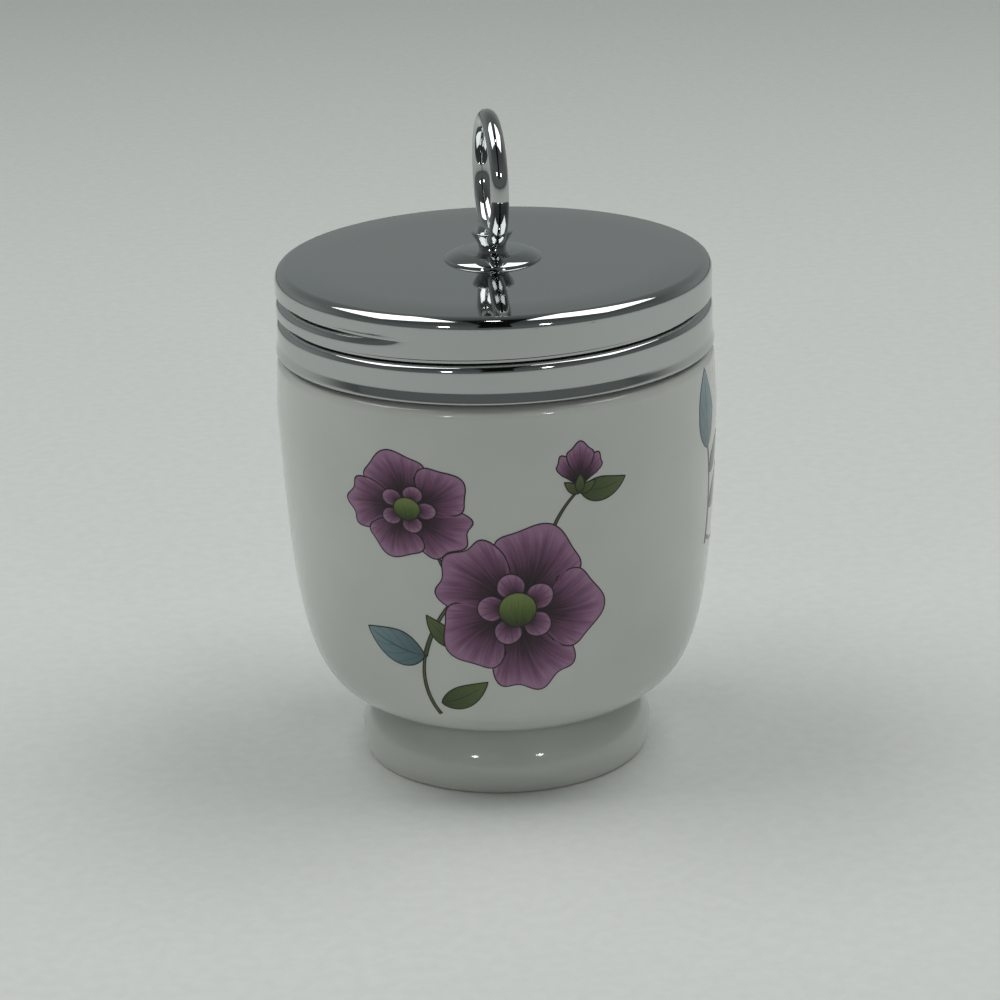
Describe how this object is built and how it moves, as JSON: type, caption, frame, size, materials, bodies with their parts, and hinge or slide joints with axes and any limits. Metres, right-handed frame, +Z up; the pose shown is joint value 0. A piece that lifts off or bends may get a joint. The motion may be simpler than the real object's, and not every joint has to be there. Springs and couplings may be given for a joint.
{
  "type": "egg coddler",
  "caption": "Glazed porcelain cup on a hollow foot, closed by a chromed screw lid with an upright lifting ring, for cooking an egg in simmering water.",
  "frame": {"origin": "centre of the foot's standing ring, on the surface that the cup stands on", "axes": "+Z up along the cup's axis, the ring's plane is YZ, and the printed front faces -Y"},
  "size_m": [0.059, 0.059, 0.0888],
  "materials": {
    "porcelain": "gloss",
    "seal": "matte",
    "lid_plate": "polished",
    "ring_plate": "polished",
    "washer_steel": "satin"
  },
  "bodies": {
    "cup": {"cup": "porcelain"},
    "seal": {"seal_ring": "seal"},
    "lid": {"lid_shell": "lid_plate", "ring_flange": "ring_plate", "ring_stud": "ring_plate", "lifting_ring": "ring_plate", "backing_washer": "washer_steel"}
  },
  "joints": [
    {"name": "lid_lift", "type": "slide", "parent": "cup", "child": "seal", "axis": [0, 0, 1], "range_m": [0, 0.01262]},
    {"name": "lid_turn", "type": "hinge", "parent": "seal", "child": "lid", "pos_m": [0, 0, 0.069], "axis": [0, 0, 1], "range_deg": [0, 1620]}
  ],
  "couplings": [
    {"joint": "lid_lift", "follows": "lid_turn", "m_per_rad": 0.00044563}
  ]
}
